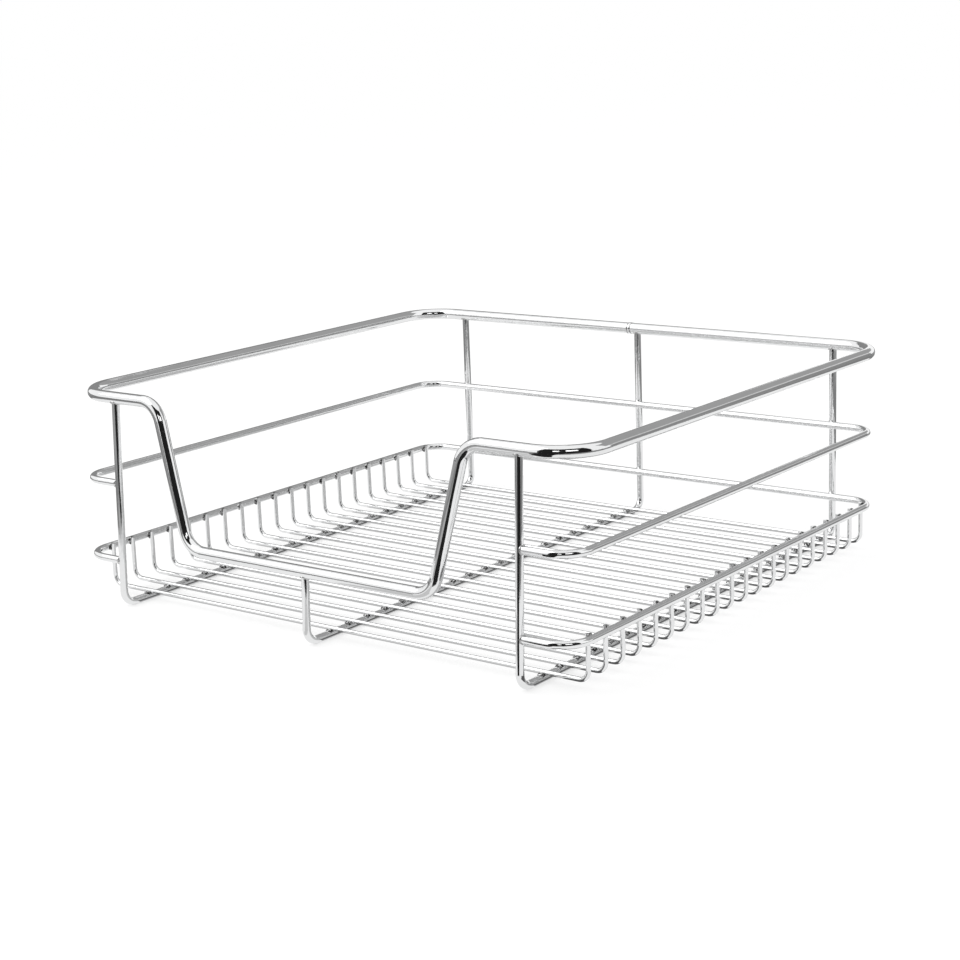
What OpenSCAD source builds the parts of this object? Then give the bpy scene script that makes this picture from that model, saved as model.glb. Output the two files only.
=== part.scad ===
// Pull out cabinet basket, bent and welded from round steel wire.
// The origin is on the floor at the middle of the basket. +X is right, +Y is back, +Z is up.
// Welded wires sink into each other a little. The thicker or upper one keeps its full round, and the
// other is cut to seat on it, so that no two pieces fill the same space.

/* [Basket] */
// Overall width, across the top rail
basket_w = 410; // [380:1:460]
// Overall depth, from the front feet to the back of the top rail
basket_d = 388; // [320:1:500]
// Overall height, from the floor to the top of the top rail
basket_h = 145; // [120:1:200]
// How far the front feet stand forward of the top rail
front_rake = 6; // [0:0.5:12]

/* [Wire] */
// Diameter of the top rail's wire
top_wire_d = 8; // [6:0.5:10]
// Diameter of the middle and lower rails' wire
rail_wire_d = 5; // [4:0.5:6]
// Diameter of the three frames' wire
frame_wire_d = 5; // [4:0.5:6]
// Diameter of the cross wires
cross_wire_d = 3; // [2:0.1:4]
// How deep crossing wires sink into each other at a weld
weld_sink = 0.4; // [0.2:0.05:0.6]

/* [Top rail] */
// Radius of the top rail's corners, at the wire's centre
top_corner_r = 30; // [20:1:48]
// Width of the handle scoop at its mouth, between the corners of its outline
scoop_mouth_w = 248; // [210:1:256]
// Width of the handle scoop at its bar, between the corners of its outline
scoop_bar_w = 199; // [120:1:230]
// Height of the scoop bar's centre above the floor
scoop_bar_z = 47.5; // [40:0.5:70]
// Radius of the scoop's four bends, at the wire's centre
scoop_bend_r = 16; // [10:1:20]
// Distance of the butt weld from the middle of the back stretch
seam_offset = 6; // [5:0.5:60]
// Length of the butt weld's bead
seam_l = 3; // [2:0.5:5]
// Height of the butt weld's bead above the wire
seam_rise = 0.3; // [0.1:0.1:0.6]

/* [Side rails] */
// Distance of the rails' outer face in from the top rail's outer face
rail_inset = 5; // [0:0.5:10]
// Height of the middle rail's centre above the floor
middle_rail_z = 84; // [60:1:100]
// Height of the lower rail's centre above the floor
lower_rail_z = 32; // [25:1:45]
// Radius of the rails' corners, at the wire's centre
rail_corner_r = 18; // [15:1:32]

/* [Frames] */
// Distance of the outer frames' centre in from the basket's sides
frame_inset = 43; // [38:1:52]
// Radius of the frames' bends, at the wire's centre
frame_bend_r = 8.5; // [6:0.5:12]

/* [Cross wires] */
// Number of cross wires
wire_count = 20; // [12:1:28]
// Distance of the first cross wire behind the frames' front feet
front_margin = 22.5; // [17:0.25:30]
// Distance of the last cross wire ahead of the frames' back uprights
back_margin = 18.25; // [17:0.25:30]
// Radius of the cross wires' bends, at the wire's centre
wire_bend_r = 6.5; // [4:0.5:12]
// Height of the cross wires' tips above the lower rail
wire_tip = 0; // [0:0.5:4]

/* [Hidden] */
function wire_name(i) = str("cross_wire_", i < 10 ? "0" : "", i);
FRAMES = ["top_rail", "middle_rail", "lower_rail", "frame_left", "frame_center", "frame_right"];
$fn = 64;

chrome = [0.80, 0.81, 0.83];
satin_steel = [0.70, 0.71, 0.73];

// Sizes and places that are worked out are rounded to a hundredth of a millimetre
places = 100;
function snap(v) = round(v * places) / places;

// Heights of the wires' centres
top_z = basket_h - top_wire_d / 2;
run_z = frame_wire_d / 2;
cross_z = frame_wire_d + cross_wire_d / 2 - weld_sink;
tip_z = lower_rail_z + rail_wire_d / 2 + wire_tip;

// The wires' centres from side to side
top_x = (basket_w - top_wire_d) / 2;
rail_x = (basket_w - rail_wire_d) / 2 - rail_inset;
frame_x = basket_w / 2 - frame_inset;

// The wires' centres from front to back. Whichever stands out more, the feet or the top rail, is
// the front of the basket. A foot is a bend of slightly more than a quarter turn, so its round face
// lies a little behind the corner of its outline.
lean = atan(front_rake / (top_z - run_z));
foot_round = frame_bend_r * (tan(lean) + 1 / cos(lean) - 1);
foot_y = snap(max(frame_wire_d / 2 - foot_round, top_wire_d / 2 - front_rake) - basket_d / 2);
front_y = foot_y + front_rake;
back_y = (basket_d - top_wire_d) / 2;
rail_back_y = back_y - (frame_wire_d + rail_wire_d) / 2 + weld_sink;
wire_pitch = (back_y - foot_y - front_margin - back_margin) / (wire_count - 1);

// Distance from the lower rail's centre to the centre of a leg that is welded inside it
leg_reach = (rail_wire_d + cross_wire_d) / 2 - weld_sink;
// A rail's square end is set this far into the upright that cuts it to shape, and a frame's end
// stops this short of the centre of the top wire that cuts it
end_depth = rail_wire_d / 6;
ring_end_gap = top_wire_d / 8;
// The front uprights are welded to straight stretches of the rails, so the corners end beside them
rail_bend_r = min(rail_corner_r, rail_x - frame_x - frame_wire_d / 2 - end_depth);

// Where a bend isn't square, the straight wire stops this short of it, and a thin sleeve joins them
sleeve_gap = 0.25;
sleeve_l = 4 * sleeve_gap;
sleeve_wall = 0.04;
square_turn = 90;
turn_error = 0.001;

// The front leans: its depth at a given height
function lean_y(z) = snap(front_y - (top_z - z) * tan(lean));

function wire_y(i) = snap(foot_y + front_margin + wire_pitch * (i - 1));

// A leg stands against the inside of the lower rail, also where the rail turns a corner
function past_straight(y) =
    max(0, y - (rail_back_y - rail_bend_r), lean_y(lower_rail_z) + rail_bend_r - y);
function wire_leg_x(y) =
    snap(rail_x - rail_bend_r + sqrt(pow(rail_bend_r - leg_reach, 2) - pow(past_straight(y), 2)));

function unit(v) = v / norm(v);
function turn(a, b, c) = acos(unit(b - a) * unit(c - b));
function before(points, i) = points[(i + len(points) - 1) % len(points)];
function after(points, i) = points[(i + 1) % len(points)];
function short_of(a, b, gap) = b - unit(b - a) * gap;

module place(x, y, z, at) {
    multmatrix([
        [x[0], y[0], z[0], at[0]],
        [x[1], y[1], z[1], at[1]],
        [x[2], y[2], z[2], at[2]],
        [0, 0, 0, 1]
    ]) children();
}

module rod(a, b, d) {
    z = unit(b - a);
    side = abs(z[2]) < 0.9 ? [0, 0, 1] : [1, 0, 0];
    x = unit(cross(side, z));
    place(x, cross(z, x), z, a) cylinder(h = norm(b - a), d = d);
}

// The round stretch of a wire that turns at corner b on its way from a to c
module bend(a, b, c, r, d) {
    ahead = unit(b - a);
    axis = unit(cross(b - a, c - b));
    inward = cross(axis, ahead);
    angle = turn(a, b, c);
    centre = b - ahead * r * tan(angle / 2) + inward * r;
    place(-inward, ahead, axis, centre)
        rotate_extrude(angle = angle) translate([r, 0]) circle(d = d);
}

// A wire through the corners of its centreline, with a bend radius for each corner.
// An open wire has no bend at its first and last points, so their radii aren't used.
module bent_wire(points, radii, d, closed = false) {
    last = len(points) - 1;
    corners = closed ? [0 : last] : [1 : last - 1];
    turns = [for (i = [0 : last])
        closed || (i > 0 && i < last) ? turn(before(points, i), points[i], after(points, i)) : 0];
    oblique = [for (angle = turns) angle > 0 && abs(angle - square_turn) > turn_error];
    for (i = corners)
        bend(before(points, i), points[i], after(points, i), radii[i], d);
    for (i = [0 : closed ? last : last - 1]) {
        j = (i + 1) % (last + 1);
        along = unit(points[j] - points[i]);
        start = points[i] + along * radii[i] * tan(turns[i] / 2);
        end = points[j] - along * radii[j] * tan(turns[j] / 2);
        rod(
            start + along * (oblique[i] ? sleeve_gap : 0),
            end - along * (oblique[j] ? sleeve_gap : 0),
            d
        );
        if (oblique[i]) sleeve(start, along, d);
        if (oblique[j]) sleeve(end, along, d);
    }
}

module sleeve(at, along, d) {
    half = along * sleeve_l / 2;
    rod(at - half, at + half, d + 2 * sleeve_wall);
}

// ---- Top rail ----

module top_ring() {
    mouth_x = scoop_mouth_w / 2;
    bar_x = scoop_bar_w / 2;
    bar_y = lean_y(scoop_bar_z);
    points = [
        [-mouth_x, front_y, top_z],
        [-top_x, front_y, top_z],
        [-top_x, back_y, top_z],
        [top_x, back_y, top_z],
        [top_x, front_y, top_z],
        [mouth_x, front_y, top_z],
        [bar_x, bar_y, scoop_bar_z],
        [-bar_x, bar_y, scoop_bar_z]
    ];
    corner = top_corner_r;
    scoop = scoop_bend_r;
    bent_wire(points, [scoop, corner, corner, corner, corner, scoop, scoop, scoop], top_wire_d, true);
}

// The stretch of the top wire that a frame's end is welded under. Beside a corner it is partly round.
module ring_seat(x, y, z) {
    side = sign(x);
    if (x == 0) {
        rod([-frame_x, y, z], [frame_x, y, z], top_wire_d);
    } else {
        rod([0, y, z], [side * (top_x - top_corner_r), y, z], top_wire_d);
        bend([0, y, z], [side * top_x, y, z], [side * top_x, 0, z], top_corner_r, top_wire_d);
    }
}

// The bead where the ring's two ends are butt welded: a band with a sloped edge on each side
module seam_bead() {
    edge_l = seam_l / 3;
    edge_d = top_wire_d - seam_rise;
    bead_d = top_wire_d + 2 * seam_rise;
    translate([-seam_offset - seam_l / 2, back_y, top_z]) rotate([0, 90, 0]) {
        cylinder(h = edge_l, d1 = edge_d, d2 = bead_d);
        translate([0, 0, edge_l]) cylinder(h = edge_l, d = bead_d);
        translate([0, 0, 2 * edge_l]) cylinder(h = edge_l, d1 = bead_d, d2 = edge_d);
    }
}

module top_rail() {
    color(chrome) {
        top_ring();
        seam_bead();
    }
}

// ---- Middle and lower rails ----

module plain_rail(z) {
    front = lean_y(z);
    end_x = frame_x + frame_wire_d / 2 - end_depth;
    points = [
        [end_x, front, z],
        [rail_x, front, z],
        [rail_x, rail_back_y, z],
        [-rail_x, rail_back_y, z],
        [-rail_x, front, z],
        [-end_x, front, z]
    ];
    bent_wire(points, [for (p = points) rail_bend_r], rail_wire_d);
}

// A rail butts against the outer frames' front uprights, and runs inside all the back uprights
module seated_rail(z) {
    difference() {
        plain_rail(z);
        for (side = [-1, 1]) front_upright(side * frame_x);
        for (x = [-frame_x, 0, frame_x]) back_upright(x);
    }
}

module middle_rail() {
    color(chrome) seated_rail(middle_rail_z);
}

module lower_rail() {
    color(chrome) difference() {
        seated_rail(lower_rail_z);
        for (i = [1 : wire_count], side = [-1, 1]) wire_leg(i, side);
    }
}

// ---- Frames ----

function foot(x) = [x, foot_y, run_z];
function heel(x) = [x, back_y, run_z];
// A frame's ends lie inside the top wire, which cuts them to shape
function front_end(x, z) = short_of(foot(x), [x, lean_y(z), z], ring_end_gap);
function back_end(x) = short_of(heel(x), [x, back_y, top_z], ring_end_gap);

module frame(x, front_z) {
    points = [front_end(x, front_z), foot(x), heel(x), back_end(x)];
    difference() {
        bent_wire(points, [for (p = points) frame_bend_r], frame_wire_d);
        ring_seat(x, lean_y(front_z), front_z);
        ring_seat(x, back_y, top_z);
        for (i = [1 : wire_count]) wire_floor(i);
    }
}

module front_upright(x) {
    rod(foot(x), front_end(x, top_z), frame_wire_d);
}

module back_upright(x) {
    rod(heel(x), back_end(x), frame_wire_d);
}

module frame_left() {
    color(satin_steel) frame(-frame_x, top_z);
}

module frame_center() {
    color(satin_steel) frame(0, scoop_bar_z);
}

module frame_right() {
    color(satin_steel) frame(frame_x, top_z);
}

// ---- Cross wires ----

function wire_points(i) =
    let(y = wire_y(i), x = wire_leg_x(y))
    [[-x, y, tip_z], [-x, y, cross_z], [x, y, cross_z], [x, y, tip_z]];

module cross_wire(i) {
    points = wire_points(i);
    color(satin_steel) bent_wire(points, [for (p = points) wire_bend_r], cross_wire_d);
}

module wire_leg(i, side) {
    points = wire_points(i);
    ends = side < 0 ? [points[1], points[0]] : [points[2], points[3]];
    rod(ends[0], ends[1], cross_wire_d);
}

module wire_floor(i) {
    points = wire_points(i);
    rod(points[1], points[2], cross_wire_d);
}

top_rail();
middle_rail();
lower_rail();
frame_left();
frame_center();
frame_right();
for (i = [1 : wire_count]) cross_wire(i);
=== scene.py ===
import math

import bmesh
import bpy
from mathutils import Matrix, Vector, noise


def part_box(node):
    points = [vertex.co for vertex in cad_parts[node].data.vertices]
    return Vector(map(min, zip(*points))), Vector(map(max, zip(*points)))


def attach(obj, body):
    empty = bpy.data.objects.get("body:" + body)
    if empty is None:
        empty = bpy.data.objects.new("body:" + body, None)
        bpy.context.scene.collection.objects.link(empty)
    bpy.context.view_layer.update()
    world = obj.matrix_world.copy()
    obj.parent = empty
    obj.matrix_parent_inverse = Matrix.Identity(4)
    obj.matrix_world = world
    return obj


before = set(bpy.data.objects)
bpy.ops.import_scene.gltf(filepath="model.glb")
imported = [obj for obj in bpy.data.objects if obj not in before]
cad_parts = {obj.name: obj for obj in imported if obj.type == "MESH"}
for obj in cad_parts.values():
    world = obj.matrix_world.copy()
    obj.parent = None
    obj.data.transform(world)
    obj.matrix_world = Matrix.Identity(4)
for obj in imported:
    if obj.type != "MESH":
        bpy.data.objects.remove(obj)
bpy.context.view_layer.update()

# Places and sizes are in metres, in the frame of the CAD part.

# ---- Camera ----

CAMERA_AT = Vector((0.7992, -1.0546, 0.3827))
CAMERA_YAW = math.radians(37.434)
CAMERA_PITCH = math.radians(-13.493)
CAMERA_ROLL = math.radians(-2.106)
FOCAL_PX = 1990.7
IMAGE_PX = 960
SENSOR_MM = 36.0
NEAREST_SEEN = 0.05
FURTHEST_SEEN = 50.0


def make_camera():
    data = bpy.data.cameras.new("camera")
    data.sensor_width = SENSOR_MM
    data.lens = FOCAL_PX / IMAGE_PX * SENSOR_MM
    data.clip_start = NEAREST_SEEN
    data.clip_end = FURTHEST_SEEN
    ahead = Vector((
        -math.sin(CAMERA_YAW) * math.cos(CAMERA_PITCH),
        math.cos(CAMERA_YAW) * math.cos(CAMERA_PITCH),
        math.sin(CAMERA_PITCH),
    ))
    right = Vector((math.cos(CAMERA_YAW), math.sin(CAMERA_YAW), 0.0))
    up = right.cross(ahead)
    c, s = math.cos(CAMERA_ROLL), math.sin(CAMERA_ROLL)
    right, up = c * right + s * up, c * up - s * right
    turn = Matrix((right, up, -ahead)).transposed()
    camera = bpy.data.objects.new("camera", data)
    camera.matrix_world = Matrix.Translation(CAMERA_AT) @ turn.to_4x4()
    bpy.context.scene.collection.objects.link(camera)
    bpy.context.scene.camera = camera


# ---- Shader nodes ----


def socket(sockets, name):
    """The socket of that name that is in use. Mix nodes have one for each type of data."""
    return next(s for s in sockets if s.name == name and s.enabled)


class Shader:
    """Adds and links the nodes of one material or world."""

    def __init__(self, tree):
        self.tree = tree
        tree.nodes.clear()

    def add(self, kind, inputs=None, **settings):
        node = self.tree.nodes.new(kind)
        for name, value in settings.items():
            setattr(node, name, value)
        for name, value in (inputs or {}).items():
            if isinstance(value, bpy.types.NodeSocket):
                self.tree.links.new(value, socket(node.inputs, name))
            else:
                socket(node.inputs, name).default_value = value
        return node

    def place(self):
        return self.add("ShaderNodeTexCoord").outputs["Object"]

    def noise(self, place, scale, detail):
        node = self.add("ShaderNodeTexNoise", {"Vector": place, "Scale": scale, "Detail": detail})
        return node.outputs["Fac"]

    def ramp(self, value, low, high, start=0.0, end=1.0):
        """Start where the value is low or less, end where it is high or more, even in between."""
        node = self.add("ShaderNodeMapRange", {
            "Value": value, "From Min": low, "From Max": high, "To Min": start, "To Max": end,
        })
        return node.outputs["Result"]

    def mix(self, factor, first, second):
        node = self.add(
            "ShaderNodeMix", {"Factor": factor, "A": first, "B": second}, data_type="RGBA")
        return socket(node.outputs, "Result")

    def bump(self, height, strength, distance, under=None):
        """A bump, on top of the one under it if there is one."""
        inputs = {"Height": height, "Strength": strength, "Distance": distance}
        if under is not None:
            inputs["Normal"] = under
        return self.add("ShaderNodeBump", inputs).outputs["Normal"]

    def metal(self, colour, roughness, normal):
        skin = self.add("ShaderNodeBsdfPrincipled", {
            "Base Color": colour, "Metallic": 1.0, "Roughness": roughness, "Normal": normal,
        })
        self.add("ShaderNodeOutputMaterial", {"Surface": skin.outputs["BSDF"]})


def new_material(name):
    material = bpy.data.materials.new(name)
    material.use_nodes = True
    return material, Shader(material.node_tree)


def grey(level):
    return (level, level, level, 1.0)


# ---- Metals ----

# The plate's tint in its clouds, as a share of its full tint
CLOUDED = 0.94
# How much rougher the plate is where its haze is thickest
HAZE = 0.10


def chrome(name, tint, dull, wave):
    """Bright plate over drawn wire. Its tint clouds a little, fine haze adds to the roughness
    dull, and the surface wavers gently by the height wave, so that reflections aren't ruled
    lines."""
    material, nodes = new_material(name)
    place = nodes.place()
    cloud = nodes.noise(place, scale=24.0, detail=4.0)
    haze = nodes.noise(place, scale=320.0, detail=5.0)
    waver = nodes.noise(place, scale=50.0, detail=0.0)
    grain = nodes.noise(place, scale=1500.0, detail=2.0)
    clouded = (*[v * CLOUDED for v in tint], 1.0)
    colour = nodes.mix(nodes.ramp(cloud, low=0.35, high=0.65), clouded, (*tint, 1.0))
    waves = nodes.bump(waver, strength=0.5, distance=wave)
    surface = nodes.bump(grain, strength=0.05, distance=0.0002, under=waves)
    roughness = nodes.ramp(haze, low=0.3, high=0.75, start=dull, end=dull + HAZE)
    nodes.metal(colour, roughness, surface)
    return material


def weld_metal(name, dark, bright):
    """Plated weld metal: duller than the wire, mottled where it ran. A near-black dark grey is partly
    weld scar and partly painted shade and dark reflection where wires meet.
    """
    material, nodes = new_material(name)
    place = nodes.place()
    mottle = nodes.noise(place, scale=900.0, detail=4.0)
    pits = nodes.noise(place, scale=2600.0, detail=3.0)
    colour = nodes.mix(nodes.ramp(mottle, low=0.45, high=0.62), grey(dark), grey(bright))
    surface = nodes.bump(pits, strength=0.5, distance=0.0003)
    roughness = nodes.ramp(mottle, low=0.35, high=0.65, start=0.34, end=0.16)
    nodes.metal(colour, roughness, surface)
    return material


def paint(names, material):
    for name in names:
        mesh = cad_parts[name].data
        mesh.materials.clear()
        mesh.materials.append(material)


# ---- Places on the wires ----

CROSS_WIRES = sorted(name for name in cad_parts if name.startswith("cross_wire"))
FRAMES = ["frame_left", "frame_center", "frame_right"]
SIDE_RAILS = ["middle_rail", "lower_rail"]
# Of the side rails and the frames
WIRE_RADIUS = 0.0025
TOP_WIRE_RADIUS = 0.004
# The bead of the top wire's butt weld stands a little above the wire
SEAM_RADIUS = 0.0043
# Crossing wires sink into each other by twice this depth
HALF_SINK = 0.0002
# Vertices within this distance of a node's outermost one count as level with it
LEVEL_WITHIN = 0.0001


def middle(node):
    low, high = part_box(node)
    return (Vector(low) + Vector(high)) / 2


def points(node):
    return [v.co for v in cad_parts[node].data.vertices]


def mean_place(node, near):
    """The mean of those vertices of a node that the test takes."""
    taken = [co for co in points(node) if near(co)]
    return sum(taken, Vector()) / len(taken)


def upright_top(node, front):
    """The middle of the end of a frame's front or back upright, under the top wire."""
    side = -1 if front else 1
    lowest = max(co.z for co in points(node) if co.y * side > 0) - WIRE_RADIUS
    return mean_place(node, lambda co: co.y * side > 0 and co.z > lowest)


def stub_end(node, side):
    """The middle of the end of a side rail, where it butts against a front upright."""
    furthest = min(abs(co.x) for co in points(node) if co.y < 0) + WIRE_RADIUS
    return mean_place(node, lambda co: co.y < 0 and co.x * side > 0 and abs(co.x) < furthest)


# ---- Welds ----

# Half sizes of the pads of weld metal, along X, Y and Z
FLOOR_NUGGET = (0.0027, 0.0041, 0.0013)
LEG_NUGGET = (0.0014, 0.0032, 0.0029)
BACK_NUGGET = (0.0031, 0.0010, 0.0031)
# Radius of the fillets round the ends of wires
FILLET_RADIUS = 0.0007
# Distance of the fillet under the top wire from the middle of an upright
COLLAR_REACH = 0.0029
# Radius of the dark lines beside the butt weld, and how far they are from its middle
SEAM_LINE_RADIUS = 0.0002
SEAM_LINE_OFFSET = 0.0014
# How unevenly the weld metal ran: waves to the metre, and the swell of pads and beads as shares
LUMP_SCALE = 900.0
NUGGET_SWELL = 0.18
BEAD_SWELL = 0.22
# Points along a short and a long bead, and round the bead itself
SHORT_BEAD_POINTS = 28
LONG_BEAD_POINTS = 32
BEAD_SIDES = 10


def lump(at):
    """How far weld metal runs out or in there, from about -1 to 1."""
    return noise.noise(Vector(at) * LUMP_SCALE)


def turns(count):
    """The angles of evenly spaced points on a circle."""
    return [2 * math.pi * k / count for k in range(count)]


def ring_round(centre, radius, count):
    """Points on a circle round a wire that runs along X."""
    return [centre + Vector((0.0, math.cos(turn), math.sin(turn))) * radius for turn in turns(count)]


def nugget(mesh, centre, radii):
    """A small uneven pad of metal that ran out between two crossing wires."""
    new = bmesh.ops.create_icosphere(mesh, subdivisions=2, radius=1.0)
    for vert in new["verts"]:
        out = vert.co.normalized()
        swell = 1.0 + NUGGET_SWELL * lump(centre + out * max(radii))
        vert.co = centre + Vector([o * r for o, r in zip(out, radii)]) * swell


def bead(mesh, path, thickness):
    """A closed uneven bead along a ring of points."""
    rings = []
    for i, at in enumerate(path):
        along = (path[(i + 1) % len(path)] - path[i - 1]).normalized()
        out = (at - sum(path, Vector()) / len(path)).normalized()
        across = along.cross(out).normalized()
        radius = thickness * (1.0 + BEAD_SWELL * lump(at))
        ring = []
        for turn in turns(BEAD_SIDES):
            ring.append(mesh.verts.new(at + (out * math.cos(turn) + across * math.sin(turn)) * radius))
        rings.append(ring)
    for i, ring in enumerate(rings):
        after = rings[(i + 1) % len(rings)]
        for k in range(BEAD_SIDES):
            n = (k + 1) % BEAD_SIDES
            mesh.faces.new((ring[k], ring[n], after[n], after[k]))


def weld_piece(name, material, build):
    """One piece that holds welds of one kind."""
    mesh = bmesh.new()
    build(mesh)
    bmesh.ops.recalc_face_normals(mesh, faces=mesh.faces)
    data = bpy.data.meshes.new(name)
    mesh.to_mesh(data)
    mesh.free()
    for face in data.polygons:
        face.use_smooth = True
    data.materials.append(material)
    piece = bpy.data.objects.new(name, data)
    bpy.context.scene.collection.objects.link(piece)
    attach(piece, "root")


def floor_welds(node):
    """Pads where the floor wires cross a frame."""
    at_x = middle(node).x

    def build(mesh):
        for wire in CROSS_WIRES:
            low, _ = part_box(wire)
            nugget(mesh, Vector((at_x, middle(wire).y, low[2] + HALF_SINK)), FLOOR_NUGGET)
    return build


def leg_welds(mesh):
    """Pads where the floor wires' legs stand against the lower rail."""
    height = middle("lower_rail").z
    for wire in CROSS_WIRES:
        _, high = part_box(wire)
        for side in (-1, 1):
            nugget(mesh, Vector((side * (high[0] - HALF_SINK), middle(wire).y, height)), LEG_NUGGET)


def back_welds(rail):
    """Pads where a side rail passes the back uprights."""
    _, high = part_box(rail)

    def build(mesh):
        for node in FRAMES:
            centre = Vector((middle(node).x, high[1] - HALF_SINK, middle(rail).z))
            nugget(mesh, centre, BACK_NUGGET)
    return build


def stub_welds(rail):
    """A fillet round each end of a side rail, on the front upright."""
    def build(mesh):
        for side in (-1, 1):
            bead(mesh, ring_round(stub_end(rail, side), WIRE_RADIUS, SHORT_BEAD_POINTS), FILLET_RADIUS)
    return build


def collar_path(end):
    """A ring on the underside of the top wire, round the end of an upright."""
    wire_z = end.z + TOP_WIRE_RADIUS
    path = []
    for turn in turns(LONG_BEAD_POINTS):
        x, y = end.x + COLLAR_REACH * math.cos(turn), end.y + COLLAR_REACH * math.sin(turn)
        path.append(Vector((x, y, wire_z - math.sqrt(TOP_WIRE_RADIUS ** 2 - (y - end.y) ** 2))))
    return path


def collars(mesh):
    """The fillets under the top wire, round the ends of the uprights."""
    for node in FRAMES:
        for front in (True, False):
            bead(mesh, collar_path(upright_top(node, front)), FILLET_RADIUS)


def seam_lines(mesh):
    """The fine dark lines where the top wire's butt weld meets the wire on either side."""
    back = max(co.y for co in points("top_rail"))
    top = max(co.z for co in points("top_rail"))
    seam = mean_place("top_rail", lambda co: co.y > back - LEVEL_WITHIN)
    for side in (-1, 1):
        centre = Vector((seam.x + side * SEAM_LINE_OFFSET, back - SEAM_RADIUS, top - SEAM_RADIUS))
        bead(mesh, ring_round(centre, TOP_WIRE_RADIUS, LONG_BEAD_POINTS), SEAM_LINE_RADIUS)


def make_welds():
    # The dark pads are near black: partly weld scar, partly painted shade and dark reflection where
    # wires cross and where the legs meet the lower rail. The seam lines on the top wire use the same
    # dark metal.
    scarred_and_painted_shade = weld_metal("weld_metal_scarred_and_painted_shade", dark=0.03, bright=0.70)
    clean = weld_metal("weld_metal_clean", dark=0.45, bright=0.85)
    for node in FRAMES:
        weld_piece("welds_" + node, scarred_and_painted_shade, floor_welds(node))
    weld_piece("welds_legs", scarred_and_painted_shade, leg_welds)
    for rail in SIDE_RAILS:
        weld_piece("welds_back_" + rail, clean, back_welds(rail))
        weld_piece("welds_stub_" + rail, clean, stub_welds(rail))
    weld_piece("welds_top_rail", clean, collars)
    weld_piece("seam_top_rail", scarred_and_painted_shade, seam_lines)


# ---- Stage ----

# The floor's side, and the share of plain white in what the camera sees of it
FLOOR_SIZE = 30.0
FLOOR_WHITE = 0.6


def make_floor():
    """A plain white floor. What the camera sees of it is mostly its own white, so that the soft
    shadows stay faint."""
    bpy.ops.mesh.primitive_plane_add(size=FLOOR_SIZE)
    floor = bpy.context.object
    floor.name = "floor"
    material, nodes = new_material("floor")
    paper = nodes.add("ShaderNodeBsdfDiffuse", {"Color": grey(1.0)})
    white = nodes.add("ShaderNodeEmission", {"Color": grey(1.0), "Strength": 1.0})
    ray = nodes.add("ShaderNodeLightPath").outputs["Is Camera Ray"]
    share = nodes.ramp(ray, low=0.0, high=1.0, start=0.0, end=FLOOR_WHITE)
    mix = nodes.add("ShaderNodeMixShader", {"Fac": share})
    nodes.tree.links.new(paper.outputs["BSDF"], mix.inputs[1])
    nodes.tree.links.new(white.outputs["Emission"], mix.inputs[2])
    nodes.add("ShaderNodeOutputMaterial", {"Surface": mix.outputs["Shader"]})
    floor.data.materials.append(material)


def make_world():
    world = bpy.data.worlds.new("world")
    world.use_nodes = True
    bpy.context.scene.world = world
    nodes = Shader(world.node_tree)
    sky = nodes.add("ShaderNodeBackground", {"Color": grey(1.0), "Strength": 1.0})
    nodes.add("ShaderNodeOutputWorld", {"Surface": sky.outputs["Background"]})


def make_lamp(name, at, size, watts):
    """A soft lamp that points at the origin."""
    data = bpy.data.lights.new(name, "AREA")
    data.shape = "RECTANGLE"
    data.size, data.size_y = size
    data.energy = watts
    lamp = bpy.data.objects.new(name, data)
    lamp.location = at
    lamp.rotation_mode = "QUATERNION"
    lamp.rotation_quaternion = (-Vector(at)).to_track_quat("-Z", "Y")
    bpy.context.scene.collection.objects.link(lamp)


# ---- Reflection cards ----

# Cards have grey levels from 0, black, to 1, the white of the room, and lamps are brighter.
# Compass directions round the basket are degrees from the back, turning towards its right side.

# Heights of the layers of flat cards above the floor. A higher layer covers those below.
LAYERS = (0.0004, 0.0006, 0.0008, 0.0009, 0.0012)
WALL_STEPS = 24
RING_STEPS = 48
# How far the shade beside a frame reaches from the wire's middle
RUN_SHADE = 0.007
# How far the shade under the basket reaches to the front and the back
SHADE_DEPTH = 0.18
BLACK = 0.015


def towards(compass):
    turn = math.radians(compass)
    return Vector((math.sin(turn), math.cos(turn), 0.0))


def make_card(name, corners, faces, level):
    """A studio card that only reflections see. It gives the chrome its dark and grey bands."""
    mesh = bpy.data.meshes.new(name)
    mesh.from_pydata([tuple(c) for c in corners], [], faces)
    card = bpy.data.objects.new(name, mesh)
    material, nodes = new_material(name)
    glow = nodes.add("ShaderNodeEmission", {"Color": grey(level), "Strength": 1.0})
    nodes.add("ShaderNodeOutputMaterial", {"Surface": glow.outputs["Emission"]})
    mesh.materials.append(material)
    card.visible_camera = False
    card.visible_diffuse = False
    card.visible_transmission = False
    card.visible_volume_scatter = False
    card.visible_shadow = False
    bpy.context.scene.collection.objects.link(card)


def make_wall(name, radius, compass, heights, level):
    """A card that stands in an arc round the basket."""
    start, end = compass
    corners = []
    for i in range(WALL_STEPS + 1):
        at = towards(start + (end - start) * i / WALL_STEPS) * radius
        corners += [at + Vector((0, 0, z)) for z in heights]
    faces = [(2 * i, 2 * i + 2, 2 * i + 3, 2 * i + 1) for i in range(WALL_STEPS)]
    make_card(name, corners, faces, level)


def make_ring(name, radii, layer, level):
    """A flat card that lies round the basket."""
    corners = []
    for i in range(RING_STEPS):
        ray = towards(360.0 * i / RING_STEPS)
        corners += [ray * r + Vector((0, 0, LAYERS[layer])) for r in radii]
    count = len(corners)
    faces = [(2 * i, 2 * i + 1, (2 * i + 3) % count, (2 * i + 2) % count) for i in range(RING_STEPS)]
    make_card(name, corners, faces, level)


def make_flat(name, corners, layer, level):
    """A flat card with those corners."""
    make_card(name, [(x, y, LAYERS[layer]) for x, y in corners], [range(len(corners))], level)


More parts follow.
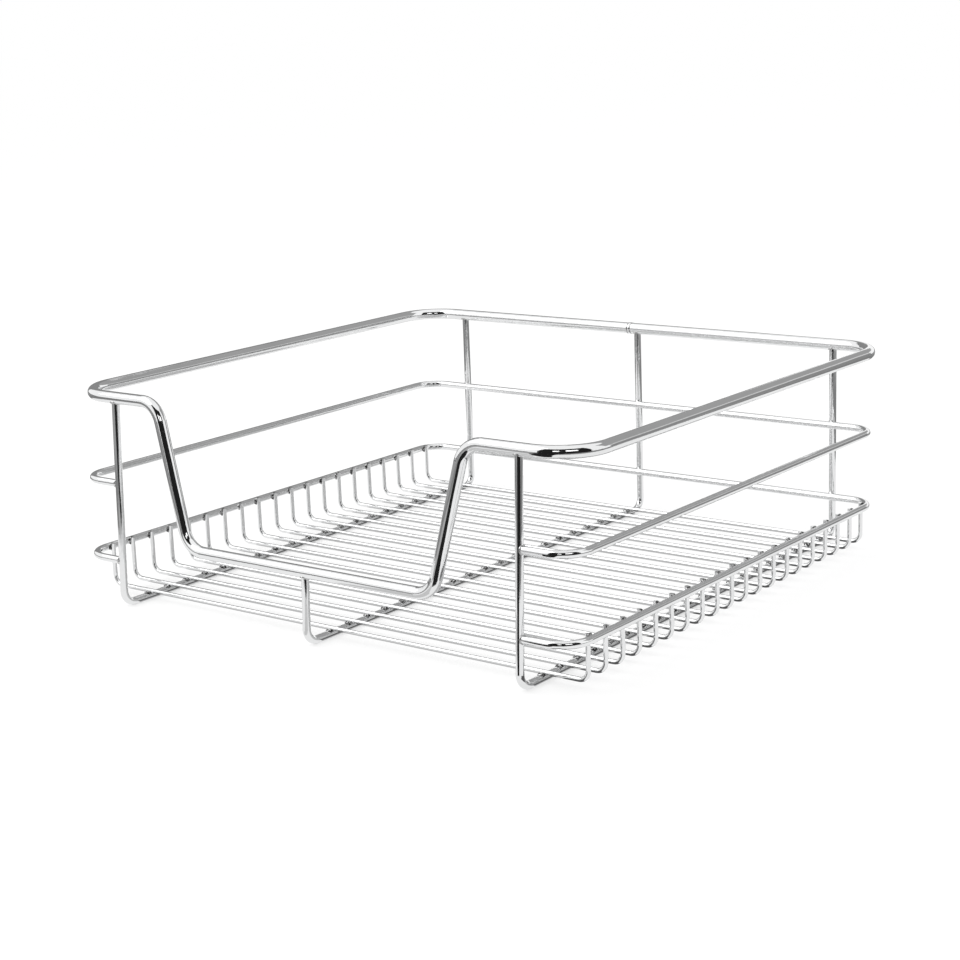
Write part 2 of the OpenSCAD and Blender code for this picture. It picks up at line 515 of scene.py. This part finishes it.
def make_strip(name, xs, ys, layer, level):
    """A flat card with its sides along X and Y."""
    (left, right), (front, back) = xs, ys
    make_flat(name, [(left, front), (right, front), (right, back), (left, back)], layer, level)


def make_floor_cards():
    """The floor as the chrome sees it: white round the basket, shaded under it, grey further off."""
    make_ring("card_round", radii=(0.0, 0.50), layer=0, level=0.92)
    make_ring("card_rim", radii=(0.50, 0.85), layer=1, level=0.23)
    make_ring("card_far", radii=(0.85, 6.0), layer=1, level=0.34)
    under = (-SHADE_DEPTH, SHADE_DEPTH)
    make_strip("card_under", xs=(-0.185, 0.185), ys=under, layer=1, level=0.55)
    make_flat("card_center_front", [
        (-0.01, -0.20), (0.10, -0.21), (0.10, -0.28), (0.04, -0.34), (-0.01, -0.26),
    ], layer=2, level=0.62)
    make_strip("card_leg_shade", xs=(0.174, 0.191), ys=(-0.20, SHADE_DEPTH), layer=3, level=0.10)
    for node in FRAMES:
        beside = (middle(node).x + WIRE_RADIUS, middle(node).x + RUN_SHADE)
        make_strip("card_shade_" + node, xs=beside, ys=under, layer=2, level=0.12)
    make_flat("card_front_grey", [
        (0.05, -0.36), (-0.06, -0.40), (-0.20, -0.46), (-0.30, -0.60), (0.05, -0.62),
    ], layer=3, level=0.42)
    # The dark side of the room, which starts as a narrow strip at the foot of the right frame
    make_flat("card_front_floor", [
        (0.145, -0.225), (0.172, -0.225), (0.195, -0.28), (0.225, -0.36), (0.29, -0.44),
        (0.40, -0.44), (0.55, -0.34), (4.0, -0.50), (4.0, -4.0), (-0.35, -4.0),
        (0.03, -0.70), (0.035, -0.40), (0.10, -0.27),
    ], layer=4, level=BLACK)


def make_wall_cards():
    """The room as the chrome sees it: dark at the right front with two lamps, grey at the back."""
    make_wall("card_front", 1.6, compass=(95, 188), heights=(0.0, 2.3), level=BLACK)
    make_wall("card_lamp_wide", 1.5, compass=(118, 138), heights=(0.62, 1.05), level=2.0)
    make_wall("card_lamp_narrow", 1.5, compass=(150, 161), heights=(0.62, 0.95), level=2.0)
    make_wall("card_skyline", 1.9, compass=(188, 455), heights=(0.0, 0.10), level=0.14)
    make_wall("card_right_back", 1.5, compass=(24, 56), heights=(0.05, 0.42), level=0.27)
    make_wall("card_right_glow", 1.5, compass=(24, 56), heights=(0.42, 0.60), level=0.68)
    make_wall("card_back", 2.2, compass=(-32, 62), heights=(0.80, 2.8), level=0.36)
    make_wall("card_back_left", 2.3, compass=(284, 336), heights=(0.10, 2.0), level=0.26)


make_camera()
make_floor()
make_world()
make_floor_cards()
make_wall_cards()
make_lamp("top_lamp", at=(-0.9, -0.9, 1.5), size=(1.4, 1.4), watts=12.0)

paint(["top_rail"], chrome("chrome_top_rail", (0.90, 0.905, 0.91), dull=0.02, wave=0.0006))
paint(SIDE_RAILS, chrome("chrome_side_rails", (0.89, 0.895, 0.90), dull=0.03, wave=0.0006))
paint(FRAMES, chrome("chrome_frames", (0.88, 0.885, 0.89), dull=0.04, wave=0.0003))
paint(CROSS_WIRES, chrome("chrome_cross_wires", (0.89, 0.895, 0.90), dull=0.05, wave=0.0001))
make_welds()
bpy.context.scene.view_settings.view_transform = "Standard"
